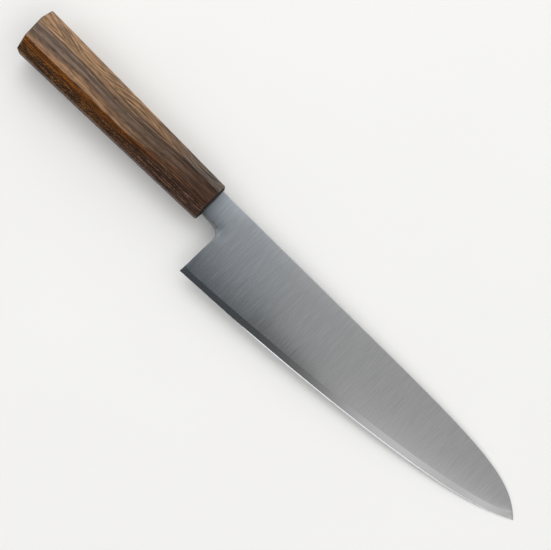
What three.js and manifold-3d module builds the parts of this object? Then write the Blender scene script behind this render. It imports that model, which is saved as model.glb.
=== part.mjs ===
// A chef's knife with a hidden tang and an octagonal wooden handle, lying on its side.
//
// Sizes are millimetres. +X runs from the butt of the handle to the tip of the blade, +Y from the edge to
// the spine, and +Z up, out of the blade's upper face. The pieces are drawn with zero at the middle of the
// handle's mouth, where the blade comes out, and the whole knife is then moved so that the origin is the
// bottom centre of its bounding box.
//
// The knife comes apart into four pieces: the blade with its tang, the handle with its mortise, the resin bed
// that holds the tang in the mortise, and the seal that closes the mortise around the root of the tang.

import * as THREE from "three";
import { mergeVertices } from "three/addons/utils/BufferGeometryUtils.js";
import Module from "manifold-3d";

const wasm = await Module();
wasm.setup();
const { clamp, degToRad, lerp, smoothstep } = THREE.MathUtils;

// Blade outline.
const BLADE_LENGTH = 210; // heel to tip, straight across
const HEEL_HEIGHT = 45; // spine to edge at the heel
const NECK_LENGTH = 13.3; // handle's mouth to the heel
const SPINE_STEP = 1.65; // how far the handle stands proud of the spine at the mouth
const NECK_STEP = 4.05; // how far the handle stands proud of the neck's lower side at the mouth
const TIP_DROP = 16.85; // the tip below the start of the spine
const SPINE_FALL = 0.2; // slope of the spine's straight part, in degrees
const SPINE_CURVE = 124; // length of the spine that curves down to the tip
const SPINE_HOLD = 84.5; // how far the curve holds to the straight part's direction
const SPINE_PULL = 21.2; // how far the curve holds to its direction at the tip
const SPINE_TIP_ANGLE = 49; // slope of the spine at the tip, in degrees
const EDGE_RISE = 2.9; // slope of the edge at the heel, in degrees
const EDGE_HOLD = 153; // how far the edge holds to its direction at the heel
const EDGE_PULL = 13.7; // how far the edge holds to its direction at the tip
const EDGE_TIP_ANGLE = 30.5; // slope of the edge at the tip, in degrees
const HEEL_LEAN = 1.7; // how far the back of the heel leans forward from square, in degrees
const NECK_SPLAY = 5.5; // how far the neck's lower side falls towards the heel, in degrees
const CHOIL_RADIUS = 4.8; // hollow corner between the neck and the heel

// Blade thickness.
const NECK_THICKNESS = 2.6;
const HEEL_THICKNESS = 2.2; // at the spine, above the heel
const TIP_THICKNESS = 1; // at the spine, where it reaches the tip
const BEVEL_THICKNESS = 0.7; // at the top of the edge bevel
const HEEL_BEVEL = 3.1; // height of the edge bevel at the heel
const TIP_BEVEL = 3.4; // height of the edge bevel at the tip
const FACE_CROWN = 3.2; // power of the face's swell from bevel to spine: 1 is flat
const SPINE_EASE = 0.3; // chamfer along both corners of the spine
const EASE_LIMIT = 0.5; // most of the half thickness that this chamfer takes, where the tip is thin
const BEVEL_LIMIT = 0.6; // most of the height that the bevel takes, where the tip is low
const NECK_RUNOUT = 18; // length past the heel over which the neck's thickness runs out

// Handle.
const HANDLE_LENGTH = 126;
const BUTT_HEIGHT = 27;
const BUTT_THICKNESS = 22;
const BUTT_CHAMFER = 7; // side of the square corner that each slanting facet cuts off
const MOUTH_HEIGHT = 21.8;
const MOUTH_THICKNESS = 18;
const MOUTH_CHAMFER = 5.4;
const END_ROUND = 1; // rounded rim at the mouth and at the butt

// Tang and what holds it.
const TANG_LENGTH = 86;
const TANG_SHOULDER = 2; // step from the neck's lower side in to the tang's
const TANG_CHEEK = 0.1; // step from the neck's faces in to the tang's
const TANG_END_HEIGHT = 5;
const TANG_END_THICKNESS = 1.6;
const TANG_POINT = 8; // length of the narrowed end
const TANG_POINT_HEIGHT = 2.5;
const TANG_CORNER = 0.25; // chamfer along the tang's corners
const TANG_OVERLAP = 3; // length of the tang that is buried in the neck
const BED_THICKNESS = 0.5; // resin around the tang
const BOND_GAP = 0.3; // line left between two bonded faces
const MORTISE_CORNER = 0.9; // chamfer along the mortise's corners
const SEAL_DEPTH = 2.5; // mouth seal, measured into the mortise

// Fineness of the curved surfaces.
const BLADE_STATIONS = 54;
const STATION_CROWDING = 0.7; // how much closer the stations lie at both ends
const FACE_LEVELS = 8;
const RIM_STEPS = 3;
const CHOIL_STEPS = 16;
const HALVINGS = 40; // steps taken to find a curve's height at a given x
const MERGE_DISTANCE = 1e-4;

// A closed three.js geometry as a solid for cutting and joining.
function solidOf(geometry) {
  const bare = geometry.clone();
  bare.deleteAttribute("normal");
  bare.deleteAttribute("uv");
  const merged = mergeVertices(bare, MERGE_DISTANCE);
  return new wasm.Manifold(
    new wasm.Mesh({
      numProp: 3,
      vertProperties: merged.attributes.position.array,
      triVerts: new Uint32Array(merged.index.array),
    }),
  );
}

// A solid as a three.js geometry.
function geometryOf(solid) {
  const mesh = solid.getMesh();
  const geometry = new THREE.BufferGeometry();
  geometry.setAttribute("position", new THREE.BufferAttribute(mesh.vertProperties, 3));
  geometry.setIndex(new THREE.BufferAttribute(mesh.triVerts, 1));
  geometry.computeVertexNormals();
  return geometry;
}

// A closed body through rings of points. The rings follow one another along +X, each has as many points as
// the next, and their points turn from +Y to +Z. With an apex, the last ring closes to that point.
function loft(rings, apex) {
  const count = rings[0].length;
  const points = rings.flat();
  const triangles = [];
  const capOf = (ring) => {
    const outline = ring.map((p) => new THREE.Vector2(p.y, p.z));
    return THREE.ShapeUtils.triangulateShape(outline, []);
  };
  for (const [a, b, c] of capOf(rings[0])) triangles.push(a, c, b);
  for (let i = 0; i + 1 < rings.length; i++) {
    for (let j = 0; j < count; j++) {
      const a = i * count + j;
      const b = i * count + ((j + 1) % count);
      triangles.push(a, b, a + count, a + count, b, b + count);
    }
  }
  const last = (rings.length - 1) * count;
  if (apex) {
    points.push(apex);
    for (let j = 0; j < count; j++) {
      triangles.push(last + j, last + ((j + 1) % count), points.length - 1);
    }
  } else {
    for (const [a, b, c] of capOf(rings.at(-1))) triangles.push(last + a, last + b, last + c);
  }
  return new THREE.BufferGeometry().setFromPoints(points).setIndex(triangles);
}

// A ring of eight points: a rectangle centred on the handle's axis, with its corners cut off.
function octagon(x, height, thickness, corner) {
  const y = height / 2;
  const z = thickness / 2;
  const outline = [
    [y, z - corner],
    [y - corner, z],
    [corner - y, z],
    [-y, z - corner],
    [-y, corner - z],
    [corner - y, -z],
    [y - corner, -z],
    [y, corner - z],
  ];
  return outline.map(([py, pz]) => new THREE.Vector3(x, py, pz));
}

// Where the blade's outline runs.
const spineStart = new THREE.Vector2(0, MOUTH_HEIGHT / 2 - SPINE_STEP);
const spineSlope = -Math.tan(degToRad(SPINE_FALL));
const heel = new THREE.Vector2(NECK_LENGTH, spineStart.y + spineSlope * NECK_LENGTH - HEEL_HEIGHT);
const tipHeight = spineStart.y - TIP_DROP;
const tip = new THREE.Vector2(
  heel.x + Math.sqrt(BLADE_LENGTH ** 2 - (tipHeight - heel.y) ** 2),
  tipHeight,
);

// The point that lies a distance from another, at an angle from +X in degrees.
function step(from, distance, angle) {
  const turn = degToRad(angle);
  return new THREE.Vector2(from.x + distance * Math.cos(turn), from.y + distance * Math.sin(turn));
}

const spineBend = new THREE.Vector2(tip.x - SPINE_CURVE, 0);
spineBend.y = spineStart.y + spineSlope * spineBend.x;
const spineCurve = new THREE.CubicBezierCurve(
  spineBend,
  step(spineBend, SPINE_HOLD, -SPINE_FALL),
  step(tip, SPINE_PULL, 180 - SPINE_TIP_ANGLE),
  tip,
);
const edgeCurve = new THREE.CubicBezierCurve(
  heel,
  step(heel, EDGE_HOLD, EDGE_RISE),
  step(tip, EDGE_PULL, 180 + EDGE_TIP_ANGLE),
  tip,
);

// Height of a curve at x, found by halving: both curves only ever run towards the tip.
function heightOn(curve, x) {
  let low = 0;
  let high = 1;
  for (let i = 0; i < HALVINGS; i++) {
    const middle = (low + high) / 2;
    if (curve.getPoint(middle).x < x) low = middle;
    else high = middle;
  }
  return curve.getPoint(low).y;
}

function spineHeight(x) {
  return x < spineBend.x ? spineStart.y + spineSlope * x : heightOn(spineCurve, x);
}

// Behind the heel the edge runs straight on, through stock that the choil cuts away.
function edgeHeight(x) {
  return x < heel.x ? heel.y + (x - heel.x) * Math.tan(degToRad(EDGE_RISE)) : heightOn(edgeCurve, x);
}

// Lower side of the neck.
const neckBottom = NECK_STEP - MOUTH_HEIGHT / 2;
function neckHeight(x) {
  return neckBottom - x * Math.tan(degToRad(NECK_SPLAY));
}

// How far x lies along the blade, from 0 at the heel to 1 at the tip.
function bladeShare(x) {
  return clamp((x - heel.x) / (tip.x - heel.x), 0, 1);
}

// How much of the neck is left at x, from 1 at the handle's mouth to 0 where its thickness has run out.
function neckShare(x) {
  return 1 - smoothstep(x, 0, heel.x + NECK_RUNOUT);
}

// Half the blade's thickness at the spine.
function spineHalf(x) {
  const taper = (HEEL_THICKNESS - TIP_THICKNESS) * bladeShare(x);
  return (lerp(HEEL_THICKNESS, NECK_THICKNESS, neckShare(x)) - taper) / 2;
}

// Height of the edge bevel.
function bevelHeight(x) {
  return lerp(HEEL_BEVEL, TIP_BEVEL, bladeShare(x));
}

// Half the blade's thickness at a height above the edge: the bevel first, then the crowned face, and the full
// thickness of the spine in the neck.
function faceHalf(x, rise) {
  const whole = spineHeight(x) - edgeHeight(x);
  const bevel = bevelHeight(x);
  const shoulder = BEVEL_THICKNESS / 2;
  if (rise <= bevel) return (shoulder * rise) / bevel;
  const up = (rise - bevel) / (whole - bevel);
  const ground = lerp(spineHalf(x), shoulder, (1 - up) ** FACE_CROWN);
  const neckLevel = neckHeight(heel.x);
  const aboveChoil = smoothstep(edgeHeight(x) + rise, neckLevel - 2 * CHOIL_RADIUS, neckLevel);
  return lerp(ground, spineHalf(x), aboveChoil * neckShare(x));
}

// The blade's cross-section: down the upper face from the spine to the edge, and back up the lower face.
function bladeRing(x) {
  const top = spineHeight(x);
  const bottom = edgeHeight(x);
  const whole = top - bottom;
  const bevel = Math.min(bevelHeight(x), BEVEL_LIMIT * whole);
  const ease = Math.min(SPINE_EASE, EASE_LIMIT * faceHalf(x, whole));
  const side = [[top, faceHalf(x, whole) - ease]];
  for (let i = 0; i <= FACE_LEVELS; i++) {
    const rise = lerp(whole - ease, bevel, i / FACE_LEVELS);
    side.push([bottom + rise, faceHalf(x, rise)]);
  }
  const upper = side.map(([y, z]) => new THREE.Vector3(x, y, z));
  const lower = side.map(([y, z]) => new THREE.Vector3(x, y, -z)).reverse();
  return [...upper, new THREE.Vector3(x, bottom, 0), ...lower];
}

// The ground blade, from its shoulder at the handle's mouth to its tip, at its full height all the way.
function bladeStock() {
  const rings = [];
  const turn = 2 * Math.PI;
  for (let i = 0; i < BLADE_STATIONS; i++) {
    const even = i / BLADE_STATIONS;
    const crowded = even - (STATION_CROWDING * Math.sin(turn * even)) / turn;
    rings.push(bladeRing(lerp(BOND_GAP, tip.x, crowded)));
  }
  return loft(rings, new THREE.Vector3(tip.x, tip.y, 0));
}

// What is cut away under the neck and behind the heel, with the hollow corner between them.
function choilCut() {
  const lean = Math.tan(degToRad(HEEL_LEAN));
  const splay = Math.tan(degToRad(NECK_SPLAY));
  const cornerX = (heel.x + (neckBottom - heel.y) * lean) / (1 + splay * lean);
  const corner = new THREE.Vector2(cornerX, neckHeight(cornerX));
  const setback = CHOIL_RADIUS / Math.tan(degToRad(90 + NECK_SPLAY - HEEL_LEAN) / 2);
  const onNeck = step(corner, setback, 180 - NECK_SPLAY);
  const centre = step(onNeck, CHOIL_RADIUS, 270 - NECK_SPLAY);
  const below = step(heel, HEEL_HEIGHT, 270 - HEEL_LEAN);
  const behind = step(onNeck, HEEL_HEIGHT, 180 - NECK_SPLAY);
  const outline = new THREE.Shape();
  outline.moveTo(behind.x, behind.y);
  outline.lineTo(onNeck.x, onNeck.y);
  outline.absarc(centre.x, centre.y, CHOIL_RADIUS, degToRad(90 - NECK_SPLAY), degToRad(-HEEL_LEAN), true);
  outline.lineTo(below.x, below.y);
  outline.lineTo(behind.x, below.y);
  const depth = 4 * NECK_THICKNESS;
  const cut = new THREE.ExtrudeGeometry(outline, {
    depth,
    bevelEnabled: false,
    curveSegments: CHOIL_STEPS,
  });
  return cut.translate(0, 0, -depth / 2);
}

// Where the tang stops tapering and its narrowed end begins.
const tangTaperEnd = TANG_POINT - TANG_LENGTH;
const tangRootHeight = 2 * (-neckBottom - TANG_SHOULDER);
const tangRootThickness = NECK_THICKNESS - 2 * TANG_CHEEK;

// A ring that follows the tang's section at x, grown by a margin all round.
function tangRing(x, margin, corner) {
  const share = clamp(x / tangTaperEnd, 0, 1);
  const height = lerp(tangRootHeight, TANG_END_HEIGHT, share);
  const thickness = lerp(tangRootThickness, TANG_END_THICKNESS, share);
  return octagon(x, height + 2 * margin, thickness + 2 * margin, corner);
}

// A body that follows the tang from x = deep to x = shallow, grown by a margin all round.
function tangBody(deep, shallow, margin, corner) {
  const turns = [tangTaperEnd, 0].filter((x) => x > deep && x < shallow);
  return loft([deep, ...turns, shallow].map((x) => tangRing(x, margin, corner)));
}

function tang() {
  const point = octagon(-TANG_LENGTH, TANG_POINT_HEIGHT, TANG_END_THICKNESS, TANG_CORNER);
  const shaft = [tangTaperEnd, 0, TANG_OVERLAP].map((x) => tangRing(x, 0, TANG_CORNER));
  return loft([point, ...shaft]);
}

function blade() {
  const ground = solidOf(bladeStock()).subtract(solidOf(choilCut()));
  return geometryOf(ground.add(solidOf(tang())));
}

// The tang's space in the handle: a bond line, the resin and another bond line on every side.
const mortiseMargin = BED_THICKNESS + 2 * BOND_GAP;
const mortiseDepth = TANG_LENGTH + mortiseMargin;

// The handle's section at x, drawn in by an inset all round.
function handleRing(x, inset) {
  const share = -x / HANDLE_LENGTH;
  const height = lerp(MOUTH_HEIGHT, BUTT_HEIGHT, share) - 2 * inset;
  const thickness = lerp(MOUTH_THICKNESS, BUTT_THICKNESS, share) - 2 * inset;
  const corner = lerp(MOUTH_CHAMFER, BUTT_CHAMFER, share) - (2 - Math.SQRT2) * inset;
  return octagon(x, height, thickness, corner);
}

function handle() {
  const butt = [];
  const mouth = [];
  for (let i = 0; i <= RIM_STEPS; i++) {
    const turn = (i / RIM_STEPS) * (Math.PI / 2);
    const inset = END_ROUND * (1 - Math.sin(turn));
    const back = END_ROUND * (1 - Math.cos(turn));
    butt.push(handleRing(back - HANDLE_LENGTH, inset));
    mouth.unshift(handleRing(-back, inset));
  }
  const block = solidOf(loft([...butt, ...mouth]));
  const mortise = tangBody(-mortiseDepth, TANG_OVERLAP, mortiseMargin, MORTISE_CORNER);
  return geometryOf(block.subtract(solidOf(mortise)));
}

// Resin between the tang and the mortise, closed behind the end of the tang and open towards the seal.
function tangBedding() {
  const front = -SEAL_DEPTH - BOND_GAP;
  const outer = tangBody(BOND_GAP - mortiseDepth, front, mortiseMargin - BOND_GAP, MORTISE_CORNER);
  const inner = tangBody(-TANG_LENGTH - BOND_GAP, 0, BOND_GAP, TANG_CORNER);
  return geometryOf(solidOf(outer).subtract(solidOf(inner)));
}

// The collar that closes the mortise around the root of the tang, just inside the mouth.
function mouthSeal() {
  const outer = tangBody(-SEAL_DEPTH, -BOND_GAP, mortiseMargin - BOND_GAP, MORTISE_CORNER);
  const inner = tangBody(-2 * SEAL_DEPTH, TANG_OVERLAP, BOND_GAP, TANG_CORNER);
  return geometryOf(solidOf(outer).subtract(solidOf(inner)));
}

// Finishes.
const satinSteel = { color: 0x8f9396, roughness: 0.38, metalness: 1 };
const oiledWood = { color: 0x6b4a30, roughness: 0.55, metalness: 0 };
const amberResin = { color: 0xc9a25a, roughness: 0.35, metalness: 0 };
const darkWax = { color: 0x3a2a1c, roughness: 0.7, metalness: 0 };

const knife = new THREE.Group();
function add(name, geometry, finish) {
  const material = new THREE.MeshStandardMaterial({ ...finish, flatShading: true });
  const mesh = new THREE.Mesh(geometry, material);
  mesh.name = name;
  knife.add(mesh);
}
add("blade", blade(), satinSteel);
add("handle", handle(), oiledWood);
add("tang_bedding", tangBedding(), amberResin);
add("mouth_seal", mouthSeal(), darkWax);

// The knife stands on z = 0, with the middle of its outline over the origin.
const box = new THREE.Box3().setFromObject(knife);
const middle = box.getCenter(new THREE.Vector3());
knife.position.set(-middle.x, -middle.y, -box.min.z);

export default new THREE.Group().add(knife);
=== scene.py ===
# %% [markdown]
# A gyuto, the all-round kitchen knife of the Japanese pattern, lying on its side.
# The CAD frame already fixes every size: this lesson puts the real surfaces around it. The blade is ground
# afresh as a fine mesh with a true bevel and eased rims, the handle is cut as an octagon and eased by hand,
# and steel, wood, resin and wax get finishes made of nodes.

import math

import bpy
import numpy as np
from mathutils import Matrix, Vector
from mathutils.geometry import interpolate_bezier


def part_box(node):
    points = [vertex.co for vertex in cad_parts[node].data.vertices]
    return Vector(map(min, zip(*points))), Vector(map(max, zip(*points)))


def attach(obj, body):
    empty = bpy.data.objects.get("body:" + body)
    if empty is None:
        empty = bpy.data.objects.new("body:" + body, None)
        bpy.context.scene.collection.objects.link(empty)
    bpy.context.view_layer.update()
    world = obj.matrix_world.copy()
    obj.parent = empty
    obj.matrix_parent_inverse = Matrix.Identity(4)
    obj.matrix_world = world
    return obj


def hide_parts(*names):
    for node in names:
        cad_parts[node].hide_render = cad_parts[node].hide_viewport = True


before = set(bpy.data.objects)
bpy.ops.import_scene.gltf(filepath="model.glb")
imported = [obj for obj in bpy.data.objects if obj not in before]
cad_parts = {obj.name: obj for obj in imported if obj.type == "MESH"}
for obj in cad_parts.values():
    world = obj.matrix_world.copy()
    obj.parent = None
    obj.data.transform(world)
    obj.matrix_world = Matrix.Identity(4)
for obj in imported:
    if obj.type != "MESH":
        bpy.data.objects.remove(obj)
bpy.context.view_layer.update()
print("frame nodes:", sorted(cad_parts))

# %% [markdown]
# All the measures of a knife are taken from where the blade enters the handle, so that point is our zero.
# The frame knows it already: it is the middle of the handle's front end. We work in millimetres from
# there, with x towards the tip, y towards the spine and z up, and turn to metres only when a point is placed.

# %% Find the knife's own zero
MM = 0.001
handle_low, handle_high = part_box("handle")
blade_low, blade_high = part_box("blade")
mouth = Vector((handle_high.x, (handle_low.y + handle_high.y) / 2, (handle_low.z + handle_high.z) / 2))


def placed(x, y, z):
    """A point given in millimetres from the handle's mouth, in metres in the frame."""
    return mouth + Vector((x, y, z)) * MM


print("mouth of the handle at", [round(value, 5) for value in mouth])

# %% [markdown]
# Every operator in Blender acts on whatever is selected, and loading the frame leaves its nodes selected.
# Two small helpers keep that under control: one leaves a single piece active, the other opens edit mode
# with just those vertices, edges or faces selected that pass a test.

# %% Helpers for selecting


def pick(piece):
    """Leaves one piece selected and active."""
    if bpy.context.mode != "OBJECT":
        bpy.ops.object.mode_set(mode="OBJECT")
    bpy.ops.object.select_all(action="DESELECT")
    piece.select_set(True)
    bpy.context.view_layer.objects.active = piece


def choose(piece, kind, test):
    """Opens edit mode with only the parts of one kind selected that pass the test."""
    pick(piece)
    bpy.ops.object.mode_set(mode="EDIT")
    bpy.ops.mesh.select_mode(type=kind)
    bpy.ops.mesh.select_all(action="DESELECT")
    bpy.ops.object.mode_set(mode="OBJECT")
    parts = {"VERT": piece.data.vertices, "EDGE": piece.data.edges, "FACE": piece.data.polygons}[kind]
    for part in parts:
        part.select = bool(test(part))
    bpy.ops.object.mode_set(mode="EDIT")


def leave_edit():
    """Back to object mode, with the edits written to the mesh."""
    bpy.ops.object.mode_set(mode="OBJECT")


print("selecting helpers ready")

# %% [markdown]
# A finish is a small program made of nodes. Wiring each node by hand hides the idea, so one class wraps a
# socket: Python's own operators on it add Math nodes, and its one method adds any other node. A line of
# shader code then reads like the sum it stands for.

# %% A class for shader maths


class Flow:
    """A socket of a node tree that takes part in Python expressions."""

    def __init__(self, tree, socket=None):
        self.tree = tree
        self.socket = socket

    def node(self, kind, settings=None, inputs=None, output=0):
        """Adds one node: its settings come first, then the values or links of its sockets."""
        made = self.tree.nodes.new("ShaderNode" + kind)
        for name, value in (settings or {}).items():
            if name == "stops":
                elements = made.color_ramp.elements
                while len(elements) < len(value):
                    elements.new(0.5)
                for element, (position, colour) in zip(elements, value):
                    element.position = position
                    element.color = (*colour, 1.0)
            else:
                setattr(made, name, value)
        for name, value in (inputs or {}).items():
            if isinstance(value, Flow):
                self.tree.links.new(value.socket, made.inputs[name])
            else:
                made.inputs[name].default_value = value
        return Flow(self.tree, made.outputs[output] if made.outputs else None)

    def other(self, name):
        """Another output of the same node."""
        return Flow(self.tree, self.socket.node.outputs[name])

    def maths(self, operation, *values):
        """A Math node on up to three values."""
        return self.node("Math", {"operation": operation}, dict(enumerate(values)))

    def __add__(self, value):
        return self.maths("ADD", self, value)

    def __radd__(self, value):
        return self.maths("ADD", value, self)

    def __sub__(self, value):
        return self.maths("SUBTRACT", self, value)

    def __rsub__(self, value):
        return self.maths("SUBTRACT", value, self)

    def __mul__(self, value):
        return self.maths("MULTIPLY", self, value)

    def __rmul__(self, value):
        return self.maths("MULTIPLY", value, self)

    def __truediv__(self, value):
        return self.maths("DIVIDE", self, value)


print("shader maths ready")

# %% Helpers for finishes


def new_finish(name):
    """A material with an empty tree, and a Flow to add its nodes with."""
    material = bpy.data.materials.new(name)
    material.use_nodes = True
    material.node_tree.nodes.clear()
    return material, Flow(material.node_tree)


def knife_place(flow):
    """Where a point of the surface is, in millimetres from the mouth: the vector, and its x, y and z."""
    place = flow.node("TexCoord", output="Object")
    moved = flow.node("VectorMath", {"operation": "SUBTRACT"}, {0: place, 1: mouth})
    scaled = flow.node("VectorMath", {"operation": "SCALE"}, {0: moved, "Scale": 1 / MM})
    x = flow.node("SeparateXYZ", inputs={0: scaled})
    return scaled, x, x.other("Y"), x.other("Z")


def vector(flow, x, y, z):
    """Three values as one vector."""
    return flow.node("CombineXYZ", inputs={"X": x, "Y": y, "Z": z})


def noise(flow, place, scale=1.0, detail=2.0, roughness=0.5):
    """Soft noise between 0 and 1."""
    settings = {"Vector": place, "Scale": scale, "Detail": detail, "Roughness": roughness}
    return flow.node("TexNoise", inputs=settings)


def rise(flow, value, low, high):
    """0 below low and 1 above high, with a smooth step between."""
    inputs = {"Value": value, "From Min": low, "From Max": high}
    return flow.node("MapRange", {"interpolation_type": "SMOOTHSTEP"}, inputs)


def mix(flow, share, first, second, blend="MIX"):
    """Two colours mixed by a share."""
    settings = {"data_type": "RGBA", "blend_type": blend, "clamp_factor": True}
    return flow.node("Mix", settings, {0: share, 6: first, 7: second}, 2)


def ramp(flow, value, stops):
    """A colour ramp; its stops are written in the value's own units."""
    low = stops[0][0]
    span = stops[-1][0] - low
    shares = [((at - low) / span, colour) for at, colour in stops]
    return flow.node("ValToRGB", {"stops": shares}, {0: (value - low) / span})


def surface(flow, inputs):
    """Ends a finish with its shader and output."""
    shader = flow.node("BsdfPrincipled", inputs=inputs)
    flow.node("OutputMaterial", inputs={"Surface": shader})


print("finish helpers ready")

# %% [markdown]
# The camera stands almost straight above the knife, a little towards the edge, and is turned so that the
# knife runs from the top left to the bottom right of the picture. Its place was found by matching the
# corners of the knife's outline.

# %% Camera
IMAGE_WIDTH = 551
FOCAL_PIXELS = 1292.4
SENSOR = 36.0
CLIP_START = 0.01
CAMERA_PLACE = (72.63, -98.80, 650.17)
CAMERA_TARGET = (49.41, -3.01, 0.0)
PICTURE_UP = (-0.69917, 0.7033, 0.12858)

camera_data = bpy.data.cameras.new("camera")
camera_data.sensor_width = SENSOR
camera_data.lens = SENSOR * FOCAL_PIXELS / IMAGE_WIDTH
camera_data.clip_start = CLIP_START
camera = bpy.data.objects.new("camera", camera_data)
bpy.context.collection.objects.link(camera)
ahead = (Vector(CAMERA_TARGET) - Vector(CAMERA_PLACE)).normalized()
right = ahead.cross(Vector(PICTURE_UP)).normalized()
upward = right.cross(ahead)
turned = Matrix((right, upward, -ahead)).transposed().to_4x4()
camera.matrix_world = Matrix.Translation(placed(*CAMERA_PLACE)) @ turned
bpy.context.scene.camera = camera
print("lens", round(camera_data.lens, 2))

# %% [markdown]
# A knife with a heavy blade does not lie level: it tips forward until it rests on the front of the handle
# and on the tip. The frame keeps the handle level, so here the floor is tilted instead, by about two
# degrees, and touches those two places.

# %% Floor
FLOOR_SIZE = 6.0
FLOOR_DROP = 0.05
FRONT_Z = -9.0
FLOOR_CLOUD = 0.006
FLOOR_COLOURS = ((0.80, 0.80, 0.795, 1), (0.84, 0.838, 0.832, 1))

tip_x = (blade_high.x - mouth.x) / MM
floor_slope = math.atan2(-FRONT_Z, tip_x)
bpy.ops.object.select_all(action="DESELECT")
floor_middle = placed(0, 0, FRONT_Z - FLOOR_DROP)
bpy.ops.mesh.primitive_plane_add(size=FLOOR_SIZE, location=floor_middle, rotation=(0, -floor_slope, 0))
floor = bpy.context.object
floor.name = "floor"

pale, flow = new_finish("pale_floor")
_, floor_x, floor_y, _ = knife_place(flow)
cloud = noise(flow, vector(flow, floor_x, floor_y, 0.0), FLOOR_CLOUD, 3.0)
floor_colour = mix(flow, cloud, *FLOOR_COLOURS)
surface(flow, {"Base Color": floor_colour, "Roughness": 0.8})
floor.data.materials.append(pale)
print("floor tilted", round(math.degrees(floor_slope), 2), "degrees")

# %% [markdown]
# A satin blade is a soft mirror, so what hangs above it matters more than what shines on it. Overhead the
# room is evenly pale. One slanted dim patch darkens the heel and its bevel, and another, low on the side of
# the edge, the lower facets of the handle. A pale window past the tip lights the front of the bevel, with
# one dip where the window has a bar, and a pale strip lights the upper side of the neck and the spine. The
# light that the heel mirrors is a little cooler. Each patch is given in degrees from straight up: where it
# starts and is full, and where it fades and ends, first along the knife and then across it.

# %% Room light
ROOM = 0.46
WALLS = 1.18
WALL_START = (16.0, 42.0)
WARM_ROOM = (1.0, 0.99, 0.975)
COOL_ROOM = (0.78, 0.92, 1.03)
ROOM_DIM = 0.82
SHADE_SLANT = 0.2
WINDOW_LIGHT = 0.46
BAR_SHADE = 0.4
STRIP_LIGHT = 0.3
BACKGROUND = 0.84
DIM_ABOVE = ((-16.0, -8.0), (-0.4, 6.7), (-91.0, -90.5), (-2.7, 10.0))
DIM_LOW = ((-65.0, -40.0), (20.0, 40.0), (-91.0, -90.5), (-60.0, -42.0))
WINDOW = ((1.9, 7.8), (30.0, 45.0), (-55.0, -35.0), (-3.5, 9.5))
WINDOW_BAR = ((9.2, 10.8), (12.0, 13.6), (-55.0, -35.0), (-3.5, 9.5))
STRIP = ((-30.0, -20.0), (3.0, 9.0), (9.5, 15.0), (30.0, 40.0))
COOL = ((-30.0, -20.0), (-6.0, 3.0), (-40.0, -25.0), (18.0, 28.0))

world = bpy.data.worlds.new("studio")
bpy.context.scene.world = world
world.use_nodes = True
world.node_tree.nodes.clear()
flow = Flow(world.node_tree)
across = flow.node("SeparateXYZ", inputs={0: flow.node("TexCoord", output="Generated")})
lean_x = flow.maths("ARCSINE", across) * math.degrees(1.0)
lean_y = flow.maths("ARCSINE", across.other("Y")) * math.degrees(1.0)
from_top = flow.maths("ARCCOSINE", across.other("Z")) * math.degrees(1.0)
slanted = lean_x + SHADE_SLANT * lean_y


def patch(x_from, x_to, y_from, y_to):
    """A soft patch of the room, 1 inside and 0 outside."""
    along = rise(flow, slanted, *x_from) * (1 - rise(flow, slanted, *x_to))
    return along * rise(flow, lean_y, *y_from) * (1 - rise(flow, lean_y, *y_to))


walls = ROOM + (WALLS - ROOM) * rise(flow, from_top, *WALL_START)
shade = ROOM_DIM * flow.maths("MAXIMUM", patch(*DIM_ABOVE), patch(*DIM_LOW))
panes = WINDOW_LIGHT * patch(*WINDOW) * (1 - BAR_SHADE * patch(*WINDOW_BAR))
strength = walls * (1 - shade) + panes + STRIP_LIGHT * patch(*STRIP)
room_colour = mix(flow, patch(*COOL), (*WARM_ROOM, 1), (*COOL_ROOM, 1))
room = flow.node("Background", inputs={"Color": room_colour, "Strength": strength})
seen = flow.node("Background", inputs={"Color": (BACKGROUND, BACKGROUND, BACKGROUND, 1), "Strength": 1.0})
camera_ray = flow.node("LightPath", output="Is Camera Ray")
sky = flow.node("MixShader", inputs={0: camera_ray, 1: room, 2: seen})
flow.node("OutputWorld", inputs={"Surface": sky})
print("room light", ROOM)

# %% [markdown]
# The wood takes its light from one large softbox behind the butt, which also throws the soft shadow along
# the edge. A square lamp that faces the middle of the knife does that.

# %% Softbox
KEY_PLACE = (-700.0, 520.0, 1050.0)
KEY_SIZE = 1.0
KEY_POWER = 4.0
KEY_COLOUR = (1.0, 0.97, 0.93)
KNIFE_MIDDLE = (48.0, 0.0, 0.0)

lamp = bpy.data.lights.new("key", "AREA")
lamp.shape = "SQUARE"
lamp.size = KEY_SIZE
lamp.energy = KEY_POWER
lamp.color = KEY_COLOUR
softbox = bpy.data.objects.new("key", lamp)
bpy.context.collection.objects.link(softbox)
softbox.location = placed(*KEY_PLACE)
aim = placed(*KNIFE_MIDDLE) - softbox.location
softbox.rotation_mode = "QUATERNION"
softbox.rotation_quaternion = aim.to_track_quat("-Z", "Y")
bpy.context.scene.view_settings.view_transform = "Standard"
print("softbox", KEY_POWER, "W")

# %% [markdown]
# The blade's outline is what makes it a gyuto: a spine that runs straight and then dips to the tip, an edge
# with a long gentle belly, a heel that drops well below the handle and a rounded notch for the finger. The
# two long lines are Bezier curves, each described by its end points and how far its handles pull. Honing has
# left the edge a little fuller at mid blade.

# %% Blade outline
NECK_LENGTH = 13.3
TIP_DROP = 16.85
SPINE_FALL = 0.2
SPINE_CURVE = 124.0
SPINE_HOLD = 84.5
SPINE_PULL = 21.2
SPINE_TIP_ANGLE = 49.0
EDGE_RISE = 2.9
EDGE_HOLD = 153.0
EDGE_PULL = 13.7
EDGE_TIP_ANGLE = 30.5
CURVE_POINTS = 600
BELLY = 0.7
BELLY_START = (14.0, 80.0)
BELLY_END = (178.0, tip_x)


def heading(degrees):
    """A unit vector in the plane of the blade."""
    return Vector((math.cos(math.radians(degrees)), math.sin(math.radians(degrees))))


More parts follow.
